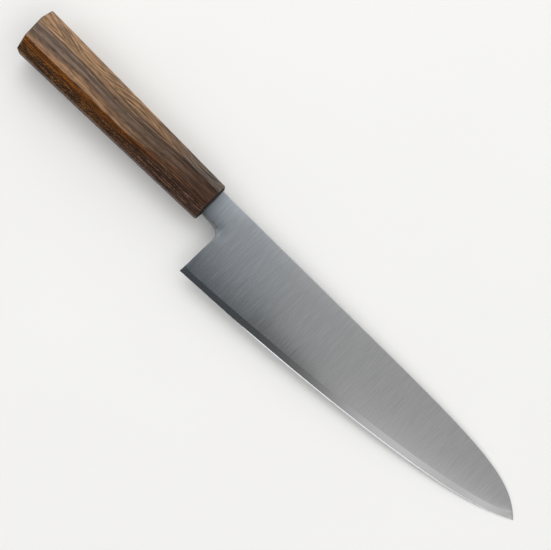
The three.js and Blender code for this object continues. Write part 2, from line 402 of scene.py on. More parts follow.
def smooth(value, low, high):
    """A smooth step from 0 to 1."""
    share = np.clip((value - low) / (high - low), 0.0, 1.0)
    return share * share * (3 - 2 * share)


def belly_at(x):
    """How far the honed edge bellies out below the main curve at x."""
    return BELLY * smooth(x, *BELLY_START) * (1 - smooth(x, *BELLY_END))


spine_start = Vector((0.0, (blade_high.y - mouth.y) / MM))
heel = Vector((NECK_LENGTH, (blade_low.y - mouth.y) / MM))
tip = Vector((tip_x, spine_start.y - TIP_DROP))
bend_x = tip.x - SPINE_CURVE
bend = Vector((bend_x, spine_start.y - bend_x * math.tan(math.radians(SPINE_FALL))))
spine_handles = (bend + heading(-SPINE_FALL) * SPINE_HOLD, tip - heading(-SPINE_TIP_ANGLE) * SPINE_PULL)
edge_handles = (heel + heading(EDGE_RISE) * EDGE_HOLD, tip - heading(EDGE_TIP_ANGLE) * EDGE_PULL)
spine_line = np.array([spine_start, *interpolate_bezier(bend, *spine_handles, tip, CURVE_POINTS)])
edge_line = np.array(interpolate_bezier(heel, *edge_handles, tip, CURVE_POINTS))
edge_line[:, 1] -= belly_at(edge_line[:, 0])


def spine_at(x):
    """Height of the spine at x."""
    return np.interp(x, spine_line[:, 0], spine_line[:, 1])


def edge_at(x):
    """Height of the cutting edge at x."""
    return np.interp(x, edge_line[:, 0], edge_line[:, 1])


heel_height = spine_at(heel.x) - heel.y
print("blade", round((tip - heel).length, 1), "mm from heel to tip,", round(heel_height, 1), "mm high")

# %% [markdown]
# Behind the heel the blade narrows to the neck. The lower side of the neck and the back of the heel are two
# straight lines, joined by an arc that is ground with a small wheel, so the arc's centre lies one radius
# away from both lines. Solving those two conditions gives the centre.

# %% Neck and finger notch
NECK_DROP = 6.85
NECK_SPLAY = 5.5
HEEL_LEAN = 1.7
NOTCH_RADIUS = 4.8
BOND_GAP = 0.3
ARC_STEPS = 12
NECK_STEPS = 8

neck_start = Vector((0.0, -NECK_DROP))
neck_below = -heading(90 - NECK_SPLAY)
heel_behind = -heading(-HEEL_LEAN)
sides = np.array([neck_below, heel_behind])
offsets = [neck_start.dot(neck_below) + NOTCH_RADIUS, heel.dot(heel_behind) + NOTCH_RADIUS]
notch = Vector(np.linalg.solve(sides, offsets))
arc_turns = np.linspace(90 - NECK_SPLAY, -HEEL_LEAN, ARC_STEPS + 1)
arc = [notch + heading(turn) * NOTCH_RADIUS for turn in arc_turns]
neck_slope = math.tan(math.radians(NECK_SPLAY))
neck_x = np.linspace(BOND_GAP, arc[0].x, NECK_STEPS + 1)[:-1]
neck_points = [Vector((x, -NECK_DROP - x * neck_slope)) for x in neck_x] + arc
print("finger notch centred at", [round(value, 2) for value in notch])

# %% [markdown]
# In section the blade is a slim wedge: thickest at the spine, with crowned faces that are fullest at mid
# blade, and a narrow bevel that ends in the cutting edge. The bevel climbs a little at the heel and at the
# tip, where the stone runs off, and in front of the heel its lowest strip is honed at a steeper angle. The
# blade also thins from the neck to the tip. One function gives the half thickness anywhere on the face.

# %% Blade section
NECK_THICKNESS = 2.6
HEEL_THICKNESS = 2.2
TIP_THICKNESS = 1.0
POINT_SHARE = 0.55
POINT_LENGTH = 26.0
BEVEL_THICKNESS = 0.7
HEEL_BEVEL = 3.1
HEEL_ROLL = 1.5
HEEL_ROLL_LENGTH = 1.7
TIP_ROLL = 1.3
TIP_ROLL_LENGTH = 4.0
TIP_BEVEL = 3.4
BEVEL_LIMIT = 0.66
HONED = (0.02, 0.42)
HONED_START = (48.0, 68.0)
HONED_END = (160.0, 205.0)
HONED_FADE = 0.7
HONED_LIMIT = 0.3
HONED_STEEP = 1.25
FACE_CROWN = 3.2
MID_CROWN = 2.6
MID_CROWN_PLACE = (86.0, 28.0)
NECK_RUNOUT = 18.0
TINY = 1e-6
MID_BLADE = (110.0, 0.0)


def between(first, second, share):
    """A value part of the way from the first to the second."""
    return first + (second - first) * share


def blade_share(x):
    """How far x is along the blade: 0 up to the heel and 1 at the tip."""
    return np.clip((x - heel.x) / (tip.x - heel.x), 0, 1)


def bevel_at(x):
    """Height of the bevel at x."""
    heel_roll = HEEL_ROLL * np.exp(-np.maximum(x - heel.x, 0) / HEEL_ROLL_LENGTH)
    tip_roll = TIP_ROLL * np.exp(-np.maximum(tip.x - x, 0) / TIP_ROLL_LENGTH)
    height = between(HEEL_BEVEL, TIP_BEVEL, blade_share(x)) + heel_roll + tip_roll + belly_at(x)
    return np.minimum(height, BEVEL_LIMIT * (spine_at(x) - edge_at(x)))


def honed_at(x):
    """Height of the honed strip along the edge at x."""
    share = smooth(x, *HONED_START) * (1 - HONED_FADE * smooth(x, *HONED_END))
    return np.minimum(between(*HONED, share), HONED_LIMIT * bevel_at(x))


def half_thickness(x, y):
    """Half of the blade's thickness at a place on its face."""
    near_neck = 1 - smooth(x, 0, heel.x + NECK_RUNOUT)
    thickest = between(HEEL_THICKNESS, NECK_THICKNESS, near_neck)
    spine_half = (thickest - (HEEL_THICKNESS - TIP_THICKNESS) * blade_share(x)) / 2
    whole = np.maximum(spine_at(x) - edge_at(x), TINY)
    bevel = np.maximum(bevel_at(x), TINY)
    height = np.clip(y - edge_at(x), 0, whole)
    shoulder = BEVEL_THICKNESS / 2
    up = np.clip((height - bevel) / (whole - bevel), 0, 1)
    middle, reach = MID_CROWN_PLACE
    crown = FACE_CROWN + MID_CROWN * np.exp(-(((x - middle) / reach) ** 2))
    face = between(spine_half, shoulder, (1 - up) ** crown)
    neck_level = -NECK_DROP - heel.x * neck_slope
    level = smooth(y, neck_level - 2 * NOTCH_RADIUS, neck_level)
    face = between(face, spine_half, level * near_neck)
    honed = np.maximum(honed_at(x), HONED_LIMIT * TINY)
    honed_half = HONED_STEEP * shoulder * honed / bevel
    ground = between(honed_half, shoulder, (height - honed) / (bevel - honed))
    low = np.where(height < honed, honed_half * height / honed, ground)
    half = np.where(height < bevel, low, face)
    return half * between(POINT_SHARE, 1.0, smooth(tip.x - x, 0, POINT_LENGTH))


print("half thickness at mid blade", round(float(half_thickness(*MID_BLADE)), 3), "mm")

# %% [markdown]
# The face is one grid, because a grid keeps clean rows along the bevel and clean columns across the blade.
# We add it as a primitive, remove the faces under the neck, and then move every vertex to its place: the
# columns fan round the notch and lean with the heel, and rows crowd together where a rim will be rounded.
# The spine, the notch and the back of the heel get rounded rims, and the neck is rolled off along both sides.
# The upper roll runs on along the spine, weaker, to mid blade.

# %% Rows and columns of the face
RIM_ROWS = np.array([0.0, 0.1, 0.24, 0.42, 0.8])
RIM_ROOM = 12.0
MIDDLE_ROWS = 14
LOWER_ROWS = 14
BEVEL_ROWS = 3
MAIN_COLUMNS = 150
COLUMN_CROWDING = 1.45
HEEL_COLUMNS = np.array([0.0, 0.1, 0.24, 0.42, 0.8, 1.4, 2.2, 3.2, 4.4])
SHORTEST = 1e-9

lean = math.tan(math.radians(HEEL_LEAN))
even = np.linspace(0, 1, MAIN_COLUMNS)
main_length = tip.x - heel.x - HEEL_COLUMNS[-1]
swept = heel.x + HEEL_COLUMNS[-1] + main_length * (1 - (1 - even) ** COLUMN_CROWDING)
edge_x = np.concatenate([heel.x + HEEL_COLUMNS[:-1], swept])


def upper_rows(length):
    """Distances of the upper rows along a column, crowded at both of its ends."""
    rim = RIM_ROWS * min(1.0, length / RIM_ROOM)
    middle = np.linspace(rim[-1], length - rim[-1], MIDDLE_ROWS + 1)[1:-1]
    return np.concatenate([rim, middle, length - rim[::-1]])


def column(bottom, top, distances):
    """Points on the line from bottom to top, at the given distances from the bottom."""
    length = max((top - bottom).length, SHORTEST)
    shares = np.asarray(distances)[:, None] / length
    return np.array(bottom) * (1 - shares) + np.array(top) * shares


below_count = BEVEL_ROWS + LOWER_ROWS
heel_top_x = heel.x + heel_height * lean
columns = []
for i, bottom in enumerate(neck_points[:-1]):
    top_x = between(BOND_GAP, heel_top_x, i / (len(neck_points) - 1))
    top = Vector((top_x, spine_at(top_x)))
    rows = column(bottom, top, upper_rows((top - bottom).length))
    columns.append(np.concatenate([np.tile(rows[0], (below_count, 1)), rows]))
notch_end = neck_points[-1]
heel_bevel = float(bevel_at(heel.x))
choil_share = ((notch_end - heel).length - heel_bevel) / (heel_height - heel_bevel)
for x in edge_x:
    height = float(spine_at(x) - edge_at(x))
    top_x = x + height * lean * (1 - blade_share(x)) ** 2
    bottom = Vector((x, edge_at(x)))
    top = Vector((top_x, spine_at(top_x)))
    length = (top - bottom).length
    bevel = float(bevel_at(x))
    choil = bevel + choil_share * (length - bevel)
    lower = np.linspace(bevel, choil, LOWER_ROWS + 1)[:-1]
    ground_rows = np.linspace(float(honed_at(x)), bevel, BEVEL_ROWS)[:-1]
    distances = np.concatenate([[0.0], ground_rows, lower, choil + upper_rows(length - choil)])
    columns.append(column(bottom, top, distances))
layout = np.array(columns)
print("face grid", layout.shape[0], "by", layout.shape[1])

# %% Place the face
SPINE_RIM = 0.4
NOTCH_RIM = 0.55
HEEL_RIM = 0.06
HEEL_RIM_FADE = 9.0
RIM_SHARE = 0.55
SPINE_STEP = 4
SHORTEST_SQUARE = 1e-12
NECK_ROLL = 0.27
NECK_ROLL_WIDTH = 8.0
NECK_TOP_ROLL = 0.15
NECK_TOP_END = (10.0, 26.0)
SPINE_ROLL = 0.075
SPINE_ROLL_END = (75.0, 150.0)

bpy.ops.object.select_all(action="DESELECT")
column_count, row_count = layout.shape[:2]
bpy.ops.mesh.primitive_grid_add(x_subdivisions=column_count - 1, y_subdivisions=row_count - 1, size=2)
blade = bpy.context.object
blade.name = "blade_ground"
neck_columns = len(neck_points) - 1


def grid_place(point):
    """Column and row of a point of the untouched grid."""
    return (point.x + 1) / 2 * (column_count - 1), (point.y + 1) / 2 * (row_count - 1)


def under_neck(face):
    """True for the faces that the finger notch takes away."""
    i, j = grid_place(face.center)
    return i < neck_columns and j < below_count


choose(blade, "FACE", under_neck)
bpy.ops.mesh.delete(type="FACE")
leave_edit()


def distance_to(points, line):
    """Distance from each point to a line through many points."""
    start = line[:-1]
    step = line[1:] - start
    gap = points[:, None, :] - start[None]
    share = np.clip((gap * step).sum(-1) / np.maximum((step * step).sum(-1), SHORTEST_SQUARE), 0, 1)
    return np.linalg.norm(gap - share[..., None] * step, axis=-1).min(axis=1)


cells = np.array([grid_place(vertex.co) for vertex in blade.data.vertices]).round().astype(int)
flat = layout[cells[:, 0], cells[:, 1]]
half = half_thickness(flat[:, 0], flat[:, 1])


def rim_drop(line, wanted):
    """How far a rounded rim of the wanted radius along a line lowers each point of the face."""
    radius = np.maximum(np.minimum(wanted, RIM_SHARE * half), SHORTEST)
    inside = radius - np.minimum(distance_to(flat, line), radius)
    return radius - np.sqrt(np.maximum(radius**2 - inside**2, 0))


spine_rim = spine_line[spine_line[:, 0] < tip.x]
back_radius = between(HEEL_RIM, NOTCH_RIM, smooth(flat[:, 1], notch_end.y - HEEL_RIM_FADE, notch_end.y))
back_drop = rim_drop(np.array([*neck_points, heel]), back_radius)
spine_drop = rim_drop(np.array([*spine_rim[::SPINE_STEP], tip]), SPINE_RIM)
rolled_line = np.array(neck_points[: NECK_STEPS + ARC_STEPS // 3])
neck_near = np.clip(1 - distance_to(flat, rolled_line) / NECK_ROLL_WIDTH, 0, 1)
neck_drop = NECK_ROLL * neck_near**2
top_near = np.clip(1 - (spine_at(flat[:, 0]) - flat[:, 1]) / NECK_ROLL_WIDTH, 0, 1)
top_roll = between(NECK_TOP_ROLL, SPINE_ROLL, smooth(flat[:, 0], *NECK_TOP_END))
top_roll = top_roll * (1 - smooth(flat[:, 0], *SPINE_ROLL_END))
neck_drop = neck_drop + top_roll * top_near**2
ground = np.column_stack([flat, half - np.maximum(back_drop, spine_drop) - neck_drop]) * MM
blade.data.vertices.foreach_set("co", ground.ravel())
blade.data.update()
print("face placed,", len(ground), "vertices")

# %% [markdown]
# The bevel is polished on a finer stone than the rest and the honed strip on a coarser one, so each gets its
# own finish and a crisp line along its upper boundary. These are set now, while only one face exists:
# mirroring copies them to the other side.

# %% Mark the bevel
POLISHED, SPINE, NOTCH, WALL, KEEN = range(1, 6)
rows_of = dict(enumerate(cells[:, 1]))
for name in ("satin_steel", "polished_bevel", "eased_spine", "notch_rim_painted_shade", "notch_wall_painted_shade", "honed_edge_painted_highlight"):
    blade.data.materials.append(bpy.data.materials.new(name))
for slot, top_row in ((POLISHED, BEVEL_ROWS), (KEEN, 1)):
    choose(blade, "EDGE", lambda edge: all(rows_of[v] == top_row for v in edge.vertices))
    bpy.ops.mesh.mark_sharp()
    choose(blade, "FACE", lambda face: all(rows_of[v] <= top_row for v in face.vertices))
    blade.active_material_index = slot
    bpy.ops.object.material_slot_assign()
    leave_edit()
print("bevel marked")

# %% Close the rims and mirror the face
MERGE = 1e-8
EDGE_FLAT = 1e-7

choose(blade, "VERT", lambda vertex: True)
bpy.ops.mesh.remove_doubles(threshold=MERGE)
leave_edit()
uses = np.zeros(len(blade.data.edges), int)
for face in blade.data.polygons:
    for key in face.loop_indices:
        uses[blade.data.loops[key].edge_index] += 1
heights = [vertex.co.z for vertex in blade.data.vertices]


def open_rim(edge):
    """True for the outer edges of the sheet, apart from the cutting edge, which already meets its mirror."""
    return uses[edge.index] == 1 and max(heights[v] for v in edge.vertices) > EDGE_FLAT


choose(blade, "EDGE", open_rim)
bpy.ops.mesh.extrude_edges_move(TRANSFORM_OT_translate={"value": (0, 0, 0)})
bpy.ops.transform.resize(value=(1, 1, 0), center_override=(0, 0, 0))
bpy.ops.mesh.select_all(action="SELECT")
bpy.ops.mesh.remove_doubles(threshold=MERGE)
leave_edit()
mirror = blade.modifiers.new("other_face", "MIRROR")
mirror.use_axis = (False, False, True)
mirror.use_mirror_merge = True
mirror.merge_threshold = EDGE_FLAT
bpy.ops.object.modifier_apply(modifier=mirror.name)
print("blade closed,", len(blade.data.polygons), "faces")

# %% [markdown]
# The tang is the part of the steel that nobody sees: a tapered tongue that runs deep into the handle. It
# grows out of the shoulder at the end of the neck, so we select the middle of the shoulder and extrude it
# back.

# %% Tang
TANG_ROOT = (9.7, 2.4)
TANG_END = (5.0, 1.6)
TANG_POINT = (2.5, 1.6)
TANG_TAPER_END = -78.0
TANG_LENGTH = 86.0
SNAP = 0.02


def shoulder_face(face):
    """True for the middle of the flat shoulder that meets the handle."""
    at_shoulder = abs(face.center.x - BOND_GAP * MM) < SNAP * MM
    return at_shoulder and abs(face.center.y) < TANG_ROOT[0] / 2 * MM


def selected_box(piece):
    """Box of the selected vertices, read from the mesh."""
    leave_edit()
    points = np.array([vertex.co for vertex in piece.data.vertices if vertex.select])
    bpy.ops.object.mode_set(mode="EDIT")
    return points.min(axis=0), points.max(axis=0)


def extrude_to(piece, x, section):
    """Extrudes the selected faces to x and gives them a section of that height and thickness."""
    bpy.ops.mesh.extrude_region_move(TRANSFORM_OT_translate={"value": (0, 0, 0)})
    low, high = selected_box(piece)
    span = high - low
    middle = (low + high) / 2
    scale = (1, section[0] * MM / span[1], section[1] * MM / span[2])
    bpy.ops.transform.resize(value=scale, center_override=tuple(middle))
    bpy.ops.transform.translate(value=(x * MM - middle[0], -middle[1], -middle[2]))


choose(blade, "FACE", shoulder_face)
extrude_to(blade, BOND_GAP, TANG_ROOT)
extrude_to(blade, TANG_TAPER_END, TANG_END)
extrude_to(blade, -TANG_LENGTH, TANG_POINT)
bpy.ops.mesh.select_all(action="SELECT")
bpy.ops.mesh.normals_make_consistent(inside=False)
leave_edit()
print("tang", TANG_LENGTH, "mm long")

# %% [markdown]
# Rims are eased by hand, so they do not shine like the ground faces: the spine is duller and the rim of the
# finger notch is rougher. The rim of the notch is also painted grey and the wall inside it darker still, as
# painted shade for the dark gap between the blade and the floor. The faces of a rim are found by how far
# they tilt.

# %% Finish the blade's mesh
SMOOTH_ANGLE = 38.0
SPINE_NORMAL = 0.98
NOTCH_NORMAL = 0.99
WALL_NORMAL = 0.6
NOTCH_REACH = (2.5, 8.0)
SHOULDER_CLEAR = 1.5


def steeper(face, limit):
    """True for faces outside the handle whose normal is less upright than the limit."""
    return abs(face.normal.z) < limit and face.center.x > 2 * BOND_GAP * MM


def at_notch(face):
    """True for faces under the neck and behind the heel."""
    return face.center.x < (heel.x + NOTCH_REACH[0]) * MM and face.center.y < 0


def rolled(face):
    """True for faces above the heel with a corner on the rounded rim."""
    tilt = min(abs(blade.data.vertices[v].normal.z) for v in face.vertices)
    clear = face.center.x > SHOULDER_CLEAR * MM and face.center.y > (heel.y + NOTCH_REACH[1]) * MM
    return clear and tilt < NOTCH_NORMAL


tests = {
    SPINE: lambda face: steeper(face, SPINE_NORMAL),
    NOTCH: lambda face: at_notch(face) and (steeper(face, NOTCH_NORMAL) or rolled(face)),
    WALL: lambda face: steeper(face, WALL_NORMAL) and at_notch(face),
}
for slot, test in tests.items():
    choose(blade, "FACE", test)
    blade.active_material_index = slot
    bpy.ops.object.material_slot_assign()
    leave_edit()
pick(blade)
bpy.ops.object.shade_smooth_by_angle(angle=math.radians(SMOOTH_ANGLE), keep_sharp_edges=True)
blade.location = mouth
bpy.ops.object.transform_apply(location=True, rotation=False, scale=False)
print("blade_ground", len(blade.data.vertices), "vertices")

# %% [markdown]
# Satin steel is bare metal with fine parallel scratches from a belt that ran across the blade, from spine to
# edge. Noise stretched along y makes such lines. They shift the grey and the roughness and tilt the surface a
# very little. The lines are strongest near the heel. Where the steel enters the handle its colour is painted
# darker, as painted shade from the handle.

# %% Steel finishes
STEEL = (0.575, 0.58, 0.59)
STEEL_SPREAD = 0.08
HAIR_SCALE = (6.0, 0.10)
FINE_SCALE = (2.2, 0.07)
BROAD_SCALE = (0.3, 0.012)
CLOUD_SCALE = 0.035
CALMER = 0.24
CALMER_PLACE = (20.0, 90.0)
MOUTH_SHADE = 0.3
MOUTH_SHADE_PLACE = (-1.0, 9.0)
LINE_SHADE = 1.8
LINE_GLOSS = 0.10
LINE_BUMP = 0.18
LINE_DEPTH = 0.00002


def steel(name, roughness, lines, level=1.0):
    """Bare steel with fine lines across the blade; lines is how strong they are."""
    material = bpy.data.materials[name]
    material.use_nodes = True
    material.node_tree.nodes.clear()
    flow = Flow(material.node_tree)
    _, x, y, z = knife_place(flow)

    def drawn(scale, detail):
        """Noise drawn out from spine to edge: its scale along the knife and across it."""
        return noise(flow, vector(flow, x * scale[0], y * scale[1], z * scale[1]), 1.0, detail)

    hair = drawn(HAIR_SCALE, 2.0)
    fine = drawn(FINE_SCALE, 2.0)
    broad = drawn(BROAD_SCALE, 1.0)
    cloud = noise(flow, vector(flow, x, y, z), CLOUD_SCALE, 2.0)
    streak = (hair - 0.5) * 0.8 + (fine - 0.5) * 0.8 + (broad - 0.5) * 0.25
    dark = tuple(value * level * (1 - STEEL_SPREAD) for value in STEEL)
    light = tuple(value * level * (1 + STEEL_SPREAD) for value in STEEL)
    calmer = 1 - CALMER * rise(flow, x, *CALMER_PLACE)
    share = 0.5 + streak * calmer * (LINE_SHADE * lines) + (cloud - 0.5) * 0.3
    bright = mix(flow, share, (*dark, 1), (*light, 1))
    # Painted shade: the steel's colour is mixed towards black where it enters the handle.
    shade_at_mouth = 1 - rise(flow, x, *MOUTH_SHADE_PLACE)
    colour = mix(flow, shade_at_mouth * MOUTH_SHADE, bright, (0, 0, 0, 1))
    gloss = roughness + streak * (LINE_GLOSS * lines) + (cloud - 0.5) * 0.03
    relief = hair * 0.4 + fine * 0.6
    bumps = {"Strength": LINE_BUMP * lines, "Distance": LINE_DEPTH, "Height": relief}
    bump = flow.node("Bump", inputs=bumps)
    surface(flow, {"Base Color": colour, "Metallic": 1.0, "Roughness": gloss, "Normal": bump})


steel("satin_steel", roughness=0.17, lines=1.1)
steel("polished_bevel", roughness=0.12, lines=0.25)
steel("eased_spine", roughness=0.35, lines=0.3, level=0.9)
# Painted shade: the notch rim and the wall inside it get darker steel for the dark gap under the blade.
steel("notch_rim_painted_shade", roughness=0.5, lines=0.8, level=0.4)
steel("notch_wall_painted_shade", roughness=0.5, lines=0.3, level=0.22)
# Painted highlight: the honed strip is rougher steel, and its colour is raised well above steel's to paint
# the bright line along the edge.
steel("honed_edge_painted_highlight", roughness=0.75, lines=0.2, level=1.6)
print("steel finishes made")

# %% [markdown]
# The handle is one block of hardwood, planed to eight sides and a little thicker at the butt. A cylinder of
# eight sides is the natural start. Its two end rings are moved to the measured octagons, the rims are
# rounded, and the long edges are eased as sandpaper would do. The butt is cut a little aslant and is slightly
# domed. An octagon is given by its height, its thickness and how much its corners take away.

# %% Handle block
HANDLE_LENGTH = 126.0
BUTT = (27.0, 22.0, 7.0)
MOUTH = (21.8, 18.0, 5.4)
BUTT_LEAN = 0.06
BUTT_FLARE = 0.03
BUTT_DOME = 0.5
BUTT_RISE = 0.35
BUTT_ROUND = 1.4
MOUTH_ROUND = 0.8
RIM_SEGMENTS = 6
FACET_EASE = 0.3
FACET_SEGMENTS = 3
BLANK_RADIUS = 0.01
BLANK_LENGTH = 0.1


def octagon(height, thickness, corner):
    """Corners of an octagon in the y, z plane, in order round the x axis."""
    y = height / 2
    z = thickness / 2
    quarter = [(y, z - corner), (y - corner, z)]
    upper = quarter + [(-b, c) for b, c in reversed(quarter)]
    return upper + [(b, -c) for b, c in reversed(upper)]


def fit_ring(vertices, x, section, lean=0.0, flare=0.0, dome=0.0):
    """Moves a ring of eight vertices to an octagon at x, each to the corner nearest in angle."""
    corners = octagon(*section)
    flat_z = section[1] / 2
    turns = [math.atan2(c, b) for b, c in octagon(2.0, 2.0, 2.0 - math.sqrt(2.0))]
    for vertex in vertices:
        turn = math.atan2(vertex.co.z, vertex.co.y)
        gaps = [abs(math.remainder(turn - other, math.tau)) for other in turns]
        y, z = corners[gaps.index(min(gaps))]
        outward = y * lean + abs(y) * flare + dome * (1 - abs(z) / flat_z)
        vertex.co = Vector((x - outward, y, z)) * MM


bpy.ops.object.select_all(action="DESELECT")
turn_to_x = (0, math.pi / 2, 0)
bpy.ops.mesh.primitive_cylinder_add(vertices=8, radius=BLANK_RADIUS, depth=BLANK_LENGTH, rotation=turn_to_x)
handle = bpy.context.object
handle.name = "handle_block"
bpy.ops.object.transform_apply(location=True, rotation=True, scale=True)
for vertex in handle.data.vertices:
    turn = math.atan2(vertex.co.z, vertex.co.y) + math.pi / 8
    vertex.co = Vector((vertex.co.x, BLANK_RADIUS * math.cos(turn), BLANK_RADIUS * math.sin(turn)))
back = [vertex for vertex in handle.data.vertices if vertex.co.x < 0]
front = [vertex for vertex in handle.data.vertices if vertex.co.x > 0]
fit_ring(back, -HANDLE_LENGTH, BUTT, BUTT_LEAN, BUTT_FLARE, BUTT_DOME)
fit_ring(front, 0.0, MOUTH)
handle.data.update()
print("handle block", HANDLE_LENGTH, "mm long")

# %% Ease the handle
RIM_SPREAD = 2.0
FACING_BACK = -0.9


def round_edges(test, radius, segments):
    """Rounds those edges of the handle that pass the test."""
    choose(handle, "EDGE", test)
    bpy.ops.mesh.bevel(offset=radius * MM, segments=segments, affect="EDGES", clamp_overlap=True)
    leave_edit()


for at_butt, radius in ((True, BUTT_ROUND), (False, MOUTH_ROUND)):
    spots = [vertex.co.x / MM for vertex in handle.data.vertices]
    behind = [spot < -HANDLE_LENGTH / 2 for spot in spots]
    rim_edges = {
        (a, b)
        for a, b in handle.data.edge_keys
        if abs(spots[a] - spots[b]) < RIM_SPREAD and behind[a] == behind[b] == at_butt
    }
    round_edges(lambda edge: edge.key in rim_edges, radius, RIM_SEGMENTS)
points = [vertex.co.copy() for vertex in handle.data.vertices]


def long_edge(edge):
    """True for the edges between two facets, also where they run over the rounded rims."""
    step = points[edge.vertices[0]] - points[edge.vertices[1]]
    return abs(step.x) > SNAP * MM


round_edges(long_edge, FACET_EASE, FACET_SEGMENTS)
butt_area = (BUTT[1] * MM) ** 2 / 2
choose(handle, "FACE", lambda face: face.normal.x < FACING_BACK and face.area > butt_area)
bpy.ops.mesh.poke(offset=BUTT_RISE * MM)
leave_edit()
print("handle eased,", len(handle.data.polygons), "faces")

# %% [markdown]
# The mortise is the blind slot that takes the tang. The front of the block is inset, the new face is scaled
# to the slot and pushed back in two steps, because the slot tapers with the tang.

# %% Mortise
MORTISE_MARGIN = 1.1
MOUTH_INSET = 2.0
FACING_FRONT = 0.99
HANDLE_SMOOTH_ANGLE = 30.0
MORTISE_DEPTH = TANG_LENGTH + MORTISE_MARGIN
MORTISE_MOUTH = (TANG_ROOT[0] + 2 * MORTISE_MARGIN, TANG_ROOT[1] + 2 * MORTISE_MARGIN)
MORTISE_END = (TANG_END[0] + 2 * MORTISE_MARGIN, TANG_END[1] + 2 * MORTISE_MARGIN)

front_x = max(vertex.co.x for vertex in handle.data.vertices)


def front_face(face):
    """True for the flat end of the handle at the mouth."""
    return face.normal.x > FACING_FRONT and abs(face.center.x - front_x) < SNAP * MM


choose(handle, "FACE", front_face)
bpy.ops.mesh.inset(thickness=MOUTH_INSET * MM, depth=0)
inset_low, inset_high = selected_box(handle)
inset_span = inset_high - inset_low
scale = (1, MORTISE_MOUTH[0] * MM / inset_span[1], MORTISE_MOUTH[1] * MM / inset_span[2])
bpy.ops.transform.resize(value=scale, center_override=tuple((inset_low + inset_high) / 2))
extrude_to(handle, TANG_TAPER_END, MORTISE_END)
extrude_to(handle, -MORTISE_DEPTH, MORTISE_END)
leave_edit()
pick(handle)
bpy.ops.object.shade_smooth_by_angle(angle=math.radians(HANDLE_SMOOTH_ANGLE), keep_sharp_edges=True)
handle.location = mouth
bpy.ops.object.transform_apply(location=True, rotation=False, scale=False)
print("handle_block", len(handle.data.vertices), "vertices")

# %% [markdown]
# Wood is a solid made of yearly layers, so its pattern is not painted on: it is worked out in space and cut
# by the facets. Here the layers lie almost parallel to the upper facet. That gives this facet wide flame
# shapes, the main facet long stripes and the lower facet thin lines. Three distances lead the pattern: how
# deep a point lies under the upper facet, how far it is across that facet, and how far along the handle.

# %% Places in the wood
TOP_PLANE = 14.5
TOP_TAPER = 3.0 / HANDLE_LENGTH
SIDE_PLANE = 3.5
SIDE_TAPER = 1.0 / HANDLE_LENGTH

wood, flow = new_finish("oiled_hardwood")
_, x, y, z = knife_place(flow)
across_top = y + z
below = across_top - TOP_PLANE + x * TOP_TAPER
facet_edge = SIDE_PLANE - x * SIDE_TAPER
side = y - z + facet_edge
low_edge = y - z + TOP_PLANE - x * TOP_TAPER
top = rise(flow, side, -0.1, 0.25)
low = 1 - rise(flow, low_edge, 0.0, 0.4)
main = (1 - top) * (1 - low)


def grain(along, across, detail=1.0, roughness=0.5):
    """Noise drawn out along the handle: its scale along it and across it."""
    return noise(flow, vector(flow, x * along, y * across, z * across), 1.0, detail, roughness)


def lines_in(u, v, w):
    """Plain noise at a place given by three distances."""
    return noise(flow, vector(flow, u, v, w), 1.0, 1.0)


drift = grain(0.02, 0.12, 2.0)
print("upper facet", round(TOP_PLANE / math.sqrt(2), 2), "mm from the middle at the mouth")

# %% Wood layers
BOW_PEAK = -99.0
BOW_LENGTH = 87.0
DIP_START = (-122.0, -100.0)
DIP_END = (-60.0, -30.0)
FAN_PLACE = (-115.0, -70.0)
STRIPE = -3.4
CALM_BROWN = (0.180, 0.120, 0.084, 1)
CALM_BUTT = (-110.0, -85.0)
CALM_MIDDLE = (-76.0, -54.0)
# The layer colours are the wood's own stripes, and their grey-brown at the butt also holds painted sheen.
LAYERS = [
    (-24.0, (0.27, 0.160, 0.092)),
    (-16.0, (0.31, 0.180, 0.098)),
    (-11.5, (0.34, 0.195, 0.104)),
    (-9.6, (0.25, 0.150, 0.090)),
    (-8.5, (0.130, 0.092, 0.070)),
    (-7.2, (0.125, 0.088, 0.068)),
    (-6.2, (0.200, 0.132, 0.090)),
    (-4.9, (0.180, 0.122, 0.088)),
    (-4.0, (0.112, 0.082, 0.066)),
    (-2.8, (0.125, 0.088, 0.066)),
    (-1.6, (0.215, 0.132, 0.080)),
    (0.5, (0.265, 0.155, 0.080)),
    (4.0, (0.290, 0.168, 0.084)),
]

bow = flow.maths("COSINE", (x - BOW_PEAK) * (2 * math.pi / BOW_LENGTH))
dip = rise(flow, x, *DIP_START) * (1 - rise(flow, x, *DIP_END))
sway = (x + 60.0) * 0.012 + bow * 0.75 - dip * 0.85 + (drift - 0.5) * 1.2
plane = below - sway
main_lines = lines_in(x * 0.006, plane * 1.25, side * 0.12)
fan = 1 + 0.9 * rise(flow, x, *FAN_PLACE)
layer_depth = STRIPE + (plane - STRIPE) * fan + (main_lines - 0.5) * 7.0
striped = ramp(flow, layer_depth, LAYERS)
calm = (0.22 * rise(flow, x, *CALM_BUTT) + 0.48 * rise(flow, x, *CALM_MIDDLE)) * (1 - top)
layer = mix(flow, calm, striped, CALM_BROWN)
print("wood layers", len(LAYERS))

# %% [markdown]
# Under the layers lies an amber band and, below that, the dark heart of the log. Both come up towards the
# mouth and curl round inside the block as yearly rings do. Towards the mouth the whole block is painted
# darker and redder: partly the wood's own tone, partly a painted sheen, the grey gloss of the butt half
# fading towards the mouth. On the upper facet near the mouth a grey sheen is painted in.

